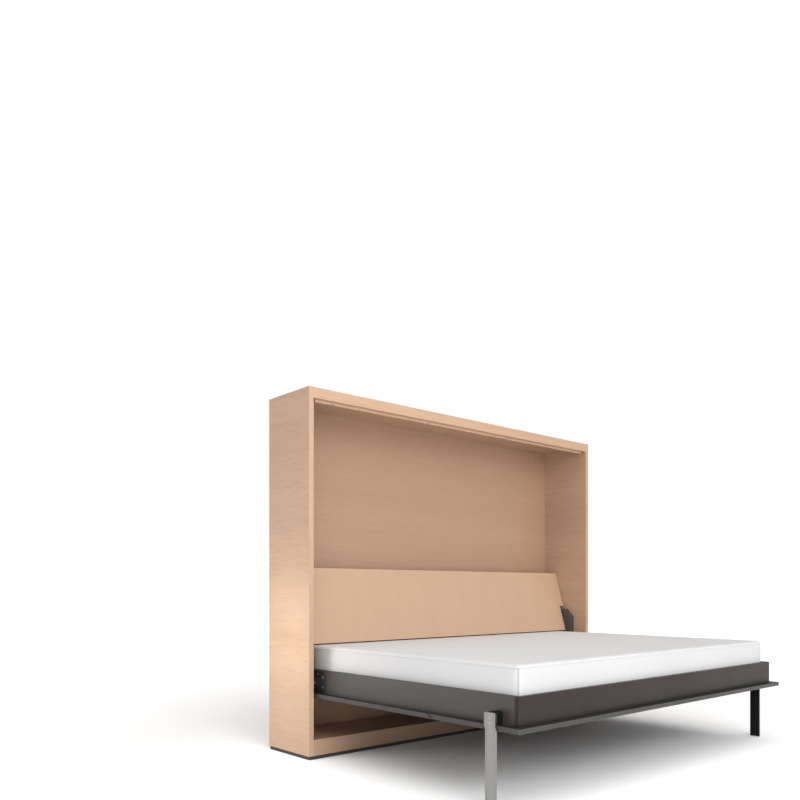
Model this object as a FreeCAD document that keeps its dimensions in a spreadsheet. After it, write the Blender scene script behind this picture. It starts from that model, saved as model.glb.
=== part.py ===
import FreeCAD, Part
import Sketcher
import os
import re

# Horizontal wall bed: a wall cabinet whose door panel carries a mattress tray on its back and
# tilts down on two side pivots.  Millimetres, +X to the right seen from the front, +Y into the
# wall, +Z up, the floor at Z = 0 and the origin in the middle of the opened bed's footprint.
# The bed is drawn open, standing on its legs.  "Depth" is measured from the cabinet's front
# plane towards the wall, "out" from the same plane towards the room.

doc = FreeCAD.newDocument("wall_bed")

DIMENSIONS = {
    # cabinet carcass
    "cab_width": 2100, "cab_height": 1719, "cab_depth": 357, "side_thick": 25,
    "board_thick": 25, "panel_thick": 18, "base_high": 17, "base_inset": 4, "base_wide": 14,
    "rail_height": 50, "plinth_height": 90, "back_split": 864,
    "batten_depth": 20, "batten_drop": 13, "batten_short": 20, "bumper_half": 8,
    "bumper_proud": 1.8, "bumper_high": 6,
    # wall brackets
    "bracket_x": 880, "bracket_wide": 50, "bracket_reach": 40, "bracket_tall": 64,
    "bracket_steel": 3, "fix_low": 50, "fix_high": 20, "fix_radius": 4.5,
    "bracket_screw_out": 15, "bracket_screw_in": 28,
    # bed
    "pivot_depth": 62, "pivot_height": 346, "bed_out": 1255, "door_half": 1012,
    "door_low": 284, "door_thick": 18, "door_rear": 306,
    "strip_long": 470, "strip_wide": 38, "strip_thick": 5, "strip_inset": 3, "strip_sunk": 0.5,
    "strip_gap": 0.3,
    "tray_half": 975, "tray_out": 1220, "tray_rear": 178, "tray_high": 106, "tray_thick": 20,
    "slat_top": 344, "slat_thick": 12, "slat_wide": 70, "slat_count": 14, "slat_long": 1350,
    "slat_margin": 60, "ledge_side": 20, "beam_wide": 40,
    "mat_long": 1900, "mat_wide": 1350, "mat_high": 176, "mat_low": 344.5, "mat_corner": 26,
    # slanted board over the back of the bed
    "lean_hinge_depth": 249, "lean_hinge_height": 881, "lean_angle": 17, "lean_over": 9,
    "lean_low": 380, "lean_foot": 522.5, "lean_half": 1020, "lean_notch_half": 983, "lean_notch_top": 216,
    "lean_round": 14, "hinge_pin_radius": 4, "hinge_plate": 3, "hinge_pin_in": 16,
    "ear_half": 16, "ear_low": 30, "ear_over": 8,
    # lifting mechanism, one set on each side
    "plate_steel": 4, "plate_front": 30, "plate_back": 196, "plate_bottom": 254,
    "plate_step": 444, "plate_neck": 97, "plate_top": 660, "plate_chamfer": 50,
    "cover_inner": 986, "cover_steel": 2, "cover_bottom": 454,
    "pin_radius": 10, "collar_radius": 16, "collar_long": 4, "arm_steel": 6, "bush_radius": 14,
    "bush_flange": 18, "bush_lip": 3, "bush_start": 0.2, "press_gap": 0.02, "run_gap": 0.05,
    "face_gap": 0.5, "plate_screw_in": 18, "near_edge": 14, "neck_screw_in": 22,
    "neck_screw_drop": 50, "step_screw_drop": 12,
    "arm_front": 22, "arm_back": 172, "arm_low": 312, "arm_high": 404, "arm_slope_long": 30,
    "arm_slope_drop": 22, "arm_round": 10,
    "strut_depth": 165, "strut_height": 624, "stud_reach": 65, "stud_radius": 5,
    "strut_mid": 1001, "eye_radius": 11, "eye_thick": 12, "tube_radius": 10, "tube_bore": 8,
    "tube_start": 8, "tube_end": 150, "gland_long": 8, "rod_radius": 4.5, "piston_radius": 7.9,
    "piston_start": 26, "piston_long": 6, "stud_long": 11, "stud_over": 3, "stud_collar": 3,
    "tube_base": 12, "rod_stop": 8, "open_gap": 0.3,
    # legs
    "leg_out": 1124, "leg_pivot": 320, "leg_top": 348, "leg_wide": 52, "leg_thick": 8,
    "leg_gap": 0.6, "boss_radius": 14, "foot_pad": 4, "leg_round": 12, "cheek_wide": 55,
    "cheek_top": 348.5, "cheek_bottom": 293.5, "cheek_thick": 3, "cheek_gap": 0.2,
    "cheek_pitch": 19, "cheek_round": 7, "block_wide": 36, "block_top": 351, "block_round": 10,
    "foot_taper": 6, "catch_out": 782, "catch_size": 9, "catch_inset": 2,
    # pushers that lean the slanted board forwards
    "push_x": 930, "push_wide": 34, "push_steel": 6, "push_low": 314, "push_bend": 514,
    "push_top": 559, "push_lean": -17,
    # screws
    "screw_radius": 2.5, "screw_long": 15, "head_radius": 5, "head_high": 2.5,
    "small_radius": 2, "small_long": 8, "small_head": 3.4, "wood_gap": 0.05, "hole_gap": 0.3,
    "small_gap": 0.1, "sink_deep": 1.2, "head_proud": 0.4, "cut_over": 1,
}

sheet = doc.addObject("Spreadsheet::Sheet", "Sheet")
for row, (word, number) in enumerate(DIMENSIONS.items(), start=1):
    sheet.set("A%d" % row, word)
    sheet.set("B%d" % row, str(number))
    sheet.setAlias("B%d" % row, word)
doc.recompute()

ALIAS = re.compile(r"\b(" + "|".join(DIMENSIONS) + r")\b")
FRONT = "((bed_out - cab_depth) / 2)"
INNER = "(cab_width / 2 - side_thick)"
BACK = "(cab_depth - panel_thick)"
TRAY_LOW = "(door_low + door_thick)"
LEG_FACE = "(door_half + leg_gap)"
CHEEK_FACE = "(door_half + leg_gap + leg_thick + cheek_gap)"
PLATE_FACE = "(cab_width / 2 - side_thick - plate_steel)"
STRUT_LEAN = "atan((strut_depth - pivot_depth - stud_reach) / (strut_height - pivot_height))"
STRUT_OPEN = "sqrt((strut_depth - pivot_depth - stud_reach)^2 + (strut_height - pivot_height)^2)"
AXIS_X = FreeCAD.Rotation(FreeCAD.Vector(0, 1, 0), 90)
AXIS_Y = FreeCAD.Rotation(FreeCAD.Vector(1, 0, 0), -90)
LEAN_AXIS = FreeCAD.Vector(-1, 0, 0)
SIDES = (("left", -1), ("right", 1))
SUBPARTS = []


def linked(text):
    """The formula with every dimension word pointing at the sheet."""
    return ALIAS.sub(r"Sheet.\1", str(text))


def value(text):
    """The number a formula gives now."""
    return float(sheet.evalExpression(linked(text)))


def bind(obj, path, text):
    obj.setExpression(path, linked(text))


def place(obj, x, y, z):
    """Bind a position given as (x, depth, z)."""
    bind(obj, ".Placement.Base.x", x)
    bind(obj, ".Placement.Base.y", "%s + (%s)" % (FRONT, y))
    bind(obj, ".Placement.Base.z", z)


def keep(obj, label):
    """Mark an object as a finished sub-part called label."""
    obj.Label = label
    SUBPARTS.append(obj)
    return obj


def tool_name(label):
    return label + "_tool"


def box(label, x, y, z, finished=True):
    """Box from (low, high) formulas along x, depth and z."""
    obj = doc.addObject("Part::Box", label if finished else tool_name(label))
    for path, (low, high) in zip(("Length", "Width", "Height"), (x, y, z)):
        bind(obj, path, "(%s) - (%s)" % (high, low))
    place(obj, x[0], y[0], z[0])
    return keep(obj, label) if finished else obj


def span(side, inner, outer):
    """Low and high x of a slab that lies between two distances from the middle plane."""
    if side > 0:
        return (inner, outer)
    return ("-(%s)" % outer, "-(%s)" % inner)


def rod_x(name, side, inner, outer, depth, height, radius):
    """Cylinder along x."""
    low, high = span(side, inner, outer)
    obj = doc.addObject("Part::Cylinder", name)
    obj.Placement = FreeCAD.Placement(FreeCAD.Vector(), AXIS_X)
    bind(obj, "Radius", radius)
    bind(obj, "Height", "(%s) - (%s)" % (high, low))
    place(obj, low, depth, height)
    return obj


def rod_y(name, x, depth, length, height, radius):
    """Cylinder along y, from depth towards the wall."""
    obj = doc.addObject("Part::Cylinder", name)
    obj.Placement = FreeCAD.Placement(FreeCAD.Vector(), AXIS_Y)
    bind(obj, "Radius", radius)
    bind(obj, "Height", length)
    place(obj, x, depth, height)
    return obj


def rod_z(name, x, depth, height, length, radius):
    """Cylinder along z, from height upwards."""
    obj = doc.addObject("Part::Cylinder", name)
    bind(obj, "Radius", radius)
    bind(obj, "Height", length)
    place(obj, x, depth, height)
    return obj


def fuse(name, shapes):
    obj = doc.addObject("Part::MultiFuse", name)
    obj.Shapes = shapes
    return obj


def group(name, shapes):
    """Separate solids kept in one object."""
    obj = doc.addObject("Part::Compound", name)
    obj.Links = shapes
    return obj


def cut(label, base, tools):
    """Base with tools taken away, and a check that something really went."""
    obj = doc.addObject("Part::Cut", label)
    obj.Base = base
    obj.Tool = tools[0] if len(tools) == 1 else group(label + "_tools", tools)
    doc.recompute()
    if obj.Shape.Volume > base.Shape.Volume - 1:
        raise RuntimeError("nothing was cut from " + label)
    return obj


def origin_plane(body, role):
    """The body's own base plane with that role."""
    for feature in body.Origin.OriginFeatures:
        if feature.Role == role:
            return feature
    raise RuntimeError("no plane " + role)


def profile(name, role, points, thickness, holes=()):
    """Body padded from a closed outline whose corners, and round holes, are tied to the sheet."""
    body = doc.addObject("PartDesign::Body", name)
    sketch = body.newObject("Sketcher::SketchObject", name + "_outline")
    sketch.AttachmentSupport = [(origin_plane(body, role), "")]
    sketch.MapMode = "FlatFace"
    corners = [FreeCAD.Vector(value(a), value(b), 0) for a, b in points]
    for index, start in enumerate(corners):
        end = corners[(index + 1) % len(corners)]
        sketch.addGeometry(Part.LineSegment(start, end), False)
    for index in range(len(corners)):
        follower = (index + 1) % len(corners)
        sketch.addConstraint(Sketcher.Constraint("Coincident", index, 2, follower, 1))
    for index, (a, b) in enumerate(points):
        for kind, text in (("DistanceX", a), ("DistanceY", b)):
            now = value(text)
            number = sketch.addConstraint(Sketcher.Constraint(kind, -1, 1, index, 1, now))
            bind(sketch, "Constraints[%d]" % number, text)
    normal = FreeCAD.Vector(0, 0, 1)
    for a, b, radius in holes:
        centre = FreeCAD.Vector(value(a), value(b), 0)
        circle = sketch.addGeometry(Part.Circle(centre, normal, value(radius)), False)
        number = sketch.addConstraint(Sketcher.Constraint("Radius", circle, value(radius)))
        bind(sketch, "Constraints[%d]" % number, radius)
        for kind, text in (("DistanceX", a), ("DistanceY", b)):
            rule = Sketcher.Constraint(kind, -1, 1, circle, 3, value(text))
            number = sketch.addConstraint(rule)
            bind(sketch, "Constraints[%d]" % number, text)
    pad = body.newObject("PartDesign::Pad", name + "_pad")
    pad.Profile = sketch
    bind(pad, "Length", thickness)
    body.Tip = pad
    return body


def rounded(body, radius, axis, spots):
    """Fillet the pad's edges along axis that pass within a hair of one of the spots.

    Spots are pairs of numbers across the axis, in the body's own frame."""
    doc.recompute()
    pad = body.Tip
    across = [i for i in range(3) if i != axis]
    found = []
    for index, edge in enumerate(pad.Shape.Edges, start=1):
        if len(edge.Vertexes) < 2:
            continue
        first, last = edge.Vertexes[0].Point, edge.Vertexes[-1].Point
        if any(abs(first[i] - last[i]) > 0.01 for i in across):
            continue
        near = any(all(abs(first[i] - spot[k]) < 0.05 for k, i in enumerate(across))
                   for spot in spots)
        if near:
            found.append("Edge%d" % index)
    if not found:
        raise RuntimeError("no edge to round on " + body.Name)
    fillet = body.newObject("PartDesign::Fillet", body.Name + "_round_%d" % len(body.Group))
    fillet.Base = (pad, found)
    bind(fillet, "Radius", radius)
    body.Tip = fillet
    doc.recompute()
    return body


def at(points):
    return [(value(a), value(b)) for a, b in points]


def side_profile(name, side, inner, outer, points, holes=(), radius=None, round_at=()):
    """Outline in (depth, z) padded along x between two distances from the middle plane."""
    body = profile(name, "YZ_Plane", points, "(%s) - (%s)" % (outer, inner), holes)
    if radius is not None:
        rounded(body, radius, 0, at(round_at))
    low = span(side, inner, outer)[0]
    place(body, low, "0", "0")
    return body


def screw_x(name, side, face, depth, height, shank, reach, head, head_high):
    """Pan-head screw driven outwards from face, its head on the inner side of the face."""
    parts = [
        rod_x(name + "_shank", side, face, "%s + %s" % (face, reach), depth, height, shank),
        rod_x(name + "_head", side, "%s - %s" % (face, head_high), face, depth, height, head),
    ]
    return fuse(name, parts)


# ---------------------------------------------------------------- cabinet carcass
def plate_screw_spots():
    low = "plate_bottom + plate_screw_in"
    rear = "plate_back - plate_screw_in"
    return (("plate_front + plate_screw_in", low), (rear, low),
            (rear, "plate_step - step_screw_drop"),
            ("plate_front + neck_screw_in", "plate_step - neck_screw_drop"),
            ("plate_back - near_edge", "plate_top - near_edge"))


for word, side in SIDES:
    slab = span(side, INNER, "cab_width / 2")
    raw = box("side_board_" + word, slab, ("0", "cab_depth"), ("base_high", "cab_height"), False)
    bores = [rod_x("side_%s_bore_%d" % (word, n), side, INNER, INNER + " + screw_long", d, z,
                   "screw_radius + wood_gap")
             for n, (d, z) in enumerate(plate_screw_spots())]
    keep(cut("side_board_" + word, raw, bores), "side_board_" + word)

def bracket_screw_spots(side):
    return [("%d * bracket_x + %d * bracket_screw_out" % (side, way), BACK + " - bracket_screw_in")
            for way in (-1, 1)]


ACROSS = ("-" + INNER, INNER)
TOP_LOW = "(cab_height - board_thick)"
FLOOR_LOW = "(plinth_height - board_thick)"
BEHIND_RAIL = ("panel_thick", "cab_depth")

raw_top = box("top_board", ACROSS, BEHIND_RAIL, (TOP_LOW, "cab_height"), False)
top_bores = []
for word, side in SIDES:
    for n, (x, depth) in enumerate(bracket_screw_spots(side)):
        top_bores.append(rod_z("top_bore_%s_%d" % (word, n), x, depth, TOP_LOW, "screw_long",
                               "screw_radius + wood_gap"))
keep(cut("top_board", raw_top, top_bores), "top_board")

box("top_rail", ACROSS, ("0", "panel_thick"), ("cab_height - rail_height", "cab_height"))
BATTEN = "(%s - batten_short)" % INNER
box("door_stop_batten", ("-" + BATTEN, BATTEN),
    ("batten_depth", "batten_depth + panel_thick"),
    ("cab_height - rail_height - batten_drop", TOP_LOW))
BUMPER_SHARES = (-0.9, -0.3, 0.3, 0.9)
bumpers = []
for n, share in enumerate(BUMPER_SHARES):
    bumpers.append(box("stop_bumper_%d" % n,
                       ("%s * %s - bumper_half" % (share, BATTEN),
                        "%s * %s + bumper_half" % (share, BATTEN)),
                       ("batten_depth - bumper_proud", "batten_depth"),
                       ("cab_height - rail_height - batten_drop",
                        "cab_height - rail_height - batten_drop + bumper_high"), False))
keep(group("stop_bumpers", bumpers), "stop_bumpers")

box("floor_board", ACROSS, ("panel_thick", BACK), (FLOOR_LOW, "plinth_height"))
box("plinth_front", ACROSS, ("0", "panel_thick"), ("base_high", "plinth_height"))
box("plinth_rear", ACROSS, (BACK + " - panel_thick", BACK), ("base_high", FLOOR_LOW))
box("back_panel_lower", ACROSS, (BACK, "cab_depth"), ("base_high", "back_split"))

raw_back = box("back_panel_upper", ACROSS, (BACK, "cab_depth"), ("back_split", TOP_LOW), False)
wall_bores = []
for word, side in SIDES:
    for level in ("fix_low", "fix_high"):
        wall_bores.append(rod_y("wall_bore_%s_%s" % (word, level), "%d * bracket_x" % side, BACK,
                                "panel_thick", "%s - %s" % (TOP_LOW, level), "fix_radius"))
keep(cut("back_panel_upper", raw_back, wall_bores), "back_panel_upper")

bracket_screws = []
for word, side in SIDES:
    name = "wall_bracket_" + word
    wide = ("%d * bracket_x - bracket_wide / 2" % side, "%d * bracket_x + bracket_wide / 2" % side)
    upright = box(name + "_upright", wide, (BACK + " - bracket_steel", BACK),
                  (TOP_LOW + " - bracket_tall", TOP_LOW), False)
    flange = box(name + "_flange", wide, (BACK + " - bracket_reach", BACK),
                 (TOP_LOW + " - bracket_steel", TOP_LOW), False)
    angle = fuse(name + "_angle", [upright, flange])
    holes = [rod_y("%s_hole_%s" % (name, level), "%d * bracket_x" % side,
                   BACK + " - bracket_steel", "bracket_steel", "%s - %s" % (TOP_LOW, level),
                   "fix_radius")
             for level in ("fix_low", "fix_high")]
    for n, spot in enumerate(bracket_screw_spots(side)):
        holes.append(rod_z("%s_flange_hole_%d" % (name, n), spot[0], spot[1],
                           TOP_LOW + " - bracket_steel", "bracket_steel", "screw_radius + hole_gap"))
        shank = rod_z("%s_shank_%d" % (name, n), spot[0], spot[1], TOP_LOW + " - bracket_steel",
                      "bracket_steel + screw_long - cut_over", "screw_radius")
        head = rod_z("%s_head_%d" % (name, n), spot[0], spot[1],
                     TOP_LOW + " - bracket_steel - head_high", "head_high", "head_radius")
        bracket_screws.append(fuse("%s_screw_%d" % (name, n), [shank, head]))
    keep(cut(name, angle, holes), name)
keep(group("wall_bracket_screws", bracket_screws), "wall_bracket_screws")

BASE_SIDE_IN = "(cab_width / 2 - base_inset - base_wide)"
base_strips = [box("base_strip_front", ("-" + BASE_SIDE_IN, BASE_SIDE_IN),
                   ("base_inset", "base_inset + base_wide"), ("0", "base_high"), False)]
for word, side in SIDES:
    base_strips.append(box("base_strip_" + word,
                           span(side, BASE_SIDE_IN, "cab_width / 2 - base_inset"),
                           ("base_inset", "cab_depth - base_inset"), ("0", "base_high"), False))
keep(group("base_strips", base_strips), "base_strips")

# ---------------------------------------------------------------- lifting mechanism, fixed side
PLATE_OUTLINE = (("plate_front", "plate_bottom"), ("plate_back", "plate_bottom"),
                 ("plate_back", "plate_top"), ("plate_neck + plate_chamfer", "plate_top"),
                 ("plate_neck", "plate_top - plate_chamfer"), ("plate_neck", "plate_step"),
                 ("plate_front", "plate_step - plate_chamfer"))
COVER_OUTLINE = (("plate_neck", "cover_bottom"), ("plate_back", "cover_bottom"),
                 ("plate_back", "plate_top"), ("plate_neck + plate_chamfer", "plate_top"),
                 ("plate_neck", "plate_top - plate_chamfer"))
MITRE = "cover_steel * (sqrt(2) - 1)"
COVER_HOLLOW = (("plate_neck + cover_steel", "cover_bottom - cut_over"),
                ("plate_back - cover_steel", "cover_bottom - cut_over"),
                ("plate_back - cover_steel", "plate_top - cover_steel"),
                ("plate_neck + plate_chamfer + " + MITRE, "plate_top - cover_steel"),
                ("plate_neck + cover_steel", "plate_top - plate_chamfer - " + MITRE))

mechanism_screws = []
upper_studs = []
for word, side in SIDES:
    holes = [(d, z, "screw_radius + hole_gap") for d, z in plate_screw_spots()]
    plate = side_profile("mechanism_plate_" + word, side, PLATE_FACE, INNER, PLATE_OUTLINE, holes)
    keep(plate, "mechanism_plate_" + word)
    for n, (depth, height) in enumerate(plate_screw_spots()):
        mechanism_screws.append(screw_x("mechanism_screw_%s_%d" % (word, n), side, PLATE_FACE,
                                        depth, height, "screw_radius", "screw_long",
                                        "head_radius", "head_high"))
    shell = side_profile("cover_shell_" + word, side, "cover_inner", PLATE_FACE, COVER_OUTLINE)
    hollow = side_profile("cover_hollow_" + word, side, "cover_inner + cover_steel", PLATE_FACE,
                          COVER_HOLLOW)
    keep(cut("mechanism_cover_" + word, shell, [hollow]), "mechanism_cover_" + word)
    shaft = rod_x("pivot_shaft_" + word, side, "tray_half + face_gap", PLATE_FACE, "pivot_depth",
                  "pivot_height", "pin_radius")
    collar = rod_x("pivot_collar_" + word, side, PLATE_FACE + " - collar_long", PLATE_FACE,
                   "pivot_depth", "pivot_height", "collar_radius")
    keep(fuse("pivot_pin_" + word, [shaft, collar]), "pivot_pin_" + word)
    stud = rod_x("upper_stud_shaft_" + word, side, "strut_mid - eye_thick / 2 - stud_over", PLATE_FACE,
                 "strut_depth", "strut_height", "stud_radius")
    shoulder = rod_x("upper_stud_collar_" + word, side, "strut_mid + eye_thick / 2 + face_gap",
                     PLATE_FACE, "strut_depth", "strut_height", "stud_radius + stud_collar")
    upper_studs.append(fuse("upper_stud_" + word, [stud, shoulder]))
keep(group("mechanism_screws", mechanism_screws), "mechanism_screws")
keep(group("strut_upper_studs", upper_studs), "strut_upper_studs")

# ---------------------------------------------------------------- gas struts
strut_placement = FreeCAD.Placement(FreeCAD.Vector(), FreeCAD.Rotation(LEAN_AXIS, 1))
for word, side in SIDES:
    middle = "%d * strut_mid" % side

    def along(name, start, length, radius):
        """Cylinder along the strut, measured down from its upper eye."""
        obj = doc.addObject("Part::Cylinder", name)
        obj.Placement = strut_placement
        bind(obj, "Radius", radius)
        bind(obj, "Height", length)
        bind(obj, ".Placement.Rotation.Angle", STRUT_LEAN)
        reach = "((%s) + (%s))" % (start, length)
        place(obj, middle, "strut_depth - %s * sin(%s)" % (reach, STRUT_LEAN),
              "strut_height - %s * cos(%s)" % (reach, STRUT_LEAN))
        return obj

    eye_in = "strut_mid - eye_thick / 2"
    eye_out = "strut_mid + eye_thick / 2"
    tube = fuse("strut_tube_" + word, [
        along("strut_barrel_" + word, "tube_start", "tube_end - tube_start", "tube_radius"),
        rod_x("strut_eye_" + word, side, eye_in, eye_out, "strut_depth", "strut_height",
              "eye_radius")])
    keep(cut("strut_cylinder_" + word, tube, [
        along("strut_bore_" + word, "tube_start + tube_base",
              "tube_end - gland_long - tube_start - tube_base", "tube_bore"),
        along("strut_gland_" + word, "tube_end - gland_long - cut_over",
              "gland_long + 2 * cut_over", "rod_radius + run_gap"),
        rod_x("strut_eye_hole_" + word, side, eye_in, eye_out, "strut_depth", "strut_height",
              "stud_radius + run_gap")]), "strut_cylinder_" + word)
    stud_depth = "pivot_depth + stud_reach"
    rod = fuse("strut_bar_" + word, [
        along("strut_shaft_" + word, "piston_start", STRUT_OPEN + " - piston_start - rod_stop",
              "rod_radius"),
        along("strut_piston_" + word, "piston_start", "piston_long", "piston_radius"),
        rod_x("strut_rod_eye_" + word, side, eye_in, eye_out, stud_depth, "pivot_height",
              "eye_radius")])
    keep(cut("strut_rod_" + word, rod, [
        rod_x("strut_rod_hole_" + word, side, eye_in, eye_out, stud_depth, "pivot_height",
              "stud_radius + open_gap")]), "strut_rod_" + word)

# ---------------------------------------------------------------- bed: door panel and tray
raw_door = box("front_panel", ("-door_half", "door_half"), ("-bed_out", "door_rear"),
               ("door_low", TRAY_LOW), False)
strip_x = ("-strip_long / 2", "strip_long / 2")
STRIP_BACK = "(door_rear - strip_inset)"
recess = box("strip_recess", ("-strip_long / 2 - strip_gap", "strip_long / 2 + strip_gap"),
             (STRIP_BACK + " - strip_wide - strip_gap", STRIP_BACK + " + strip_gap"),
             ("door_low - cut_over", "door_low + strip_thick"), False)
keep(cut("front_panel", raw_door, [recess]), "front_panel")
box("lower_black_strip", strip_x, (STRIP_BACK + " - strip_wide", STRIP_BACK),
    ("door_low + strip_sunk", "door_low + strip_thick"))

TRAY_Z = (TRAY_LOW, TRAY_LOW + " + tray_high")
TRAY_IN = "(tray_half - tray_thick)"
box("tray_rail_front", ("-tray_half", "tray_half"), ("-tray_out", "-tray_out + tray_thick"), TRAY_Z)
box("tray_rail_rear", ("-tray_half", "tray_half"), ("tray_rear - tray_thick", "tray_rear"), TRAY_Z)


def arm_screw_spots():
    nose = "-arm_front + near_edge"
    upper = "arm_high - near_edge"
    return ((nose, "arm_low + plate_screw_in"), (nose, "arm_high - 2 * near_edge"),
            ("pivot_depth / 2", upper), ("arm_back - 2 * near_edge", upper),
            ("pivot_depth + bush_flange + plate_screw_in", "arm_low + near_edge"))


for word, side in SIDES:
    raw = box("tray_rail_" + word, span(side, TRAY_IN, "tray_half"),
              ("-tray_out + tray_thick", "tray_rear - tray_thick"), TRAY_Z, False)
    bores = [rod_x("tray_%s_bore_%d" % (word, n), side, "tray_half - screw_long + arm_steel",
                   "tray_half", d, z, "screw_radius + wood_gap")
             for n, (d, z) in enumerate(arm_screw_spots())]
    keep(cut("tray_rail_" + word, raw, bores), "tray_rail_" + word)

SLAT_LOW = "(slat_top - slat_thick)"
LEDGE_Z = (SLAT_LOW + " - ledge_side", SLAT_LOW)
box("slat_ledge_front", ("-" + TRAY_IN, TRAY_IN),
    ("-tray_out + tray_thick", "-tray_out + tray_thick + ledge_side"), LEDGE_Z)
box("slat_ledge_rear", ("-" + TRAY_IN, TRAY_IN),
    ("tray_rear - tray_thick - ledge_side", "tray_rear - tray_thick"), LEDGE_Z)
TRAY_MID = "((tray_rear - tray_out) / 2)"
box("centre_beam", ("-" + TRAY_IN, TRAY_IN),
    (TRAY_MID + " - beam_wide / 2", TRAY_MID + " + beam_wide / 2"), (TRAY_LOW, SLAT_LOW))

slats = []
slat_total = int(value("slat_count"))
for n in range(slat_total):
    share = "(%d / (slat_count - 1) - 0.5)" % n
    centre = "(%s * (2 * %s - slat_wide - slat_margin))" % (share, TRAY_IN)
    slats.append(box("slat_%02d" % n, (centre + " - slat_wide / 2", centre + " + slat_wide / 2"),
                     (TRAY_MID + " - slat_long / 2", TRAY_MID + " + slat_long / 2"),
                     (SLAT_LOW, "slat_top"), False))
keep(group("bed_slats", slats), "bed_slats")

MAT_HALF = "mat_long / 2"
MAT_DEEP = "mat_wide / 2"
mattress = profile("mattress", "XY_Plane",
                   (("-" + MAT_HALF, "-" + MAT_DEEP), (MAT_HALF, "-" + MAT_DEEP),
                    (MAT_HALF, MAT_DEEP), ("-" + MAT_HALF, MAT_DEEP)), "mat_high")
rounded(mattress, "mat_corner", 2,
        at((("-" + MAT_HALF, "-" + MAT_DEEP), (MAT_HALF, "-" + MAT_DEEP),
            (MAT_HALF, MAT_DEEP), ("-" + MAT_HALF, MAT_DEEP))))
place(mattress, "0", TRAY_MID, "mat_low")
keep(mattress, "mattress")

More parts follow.
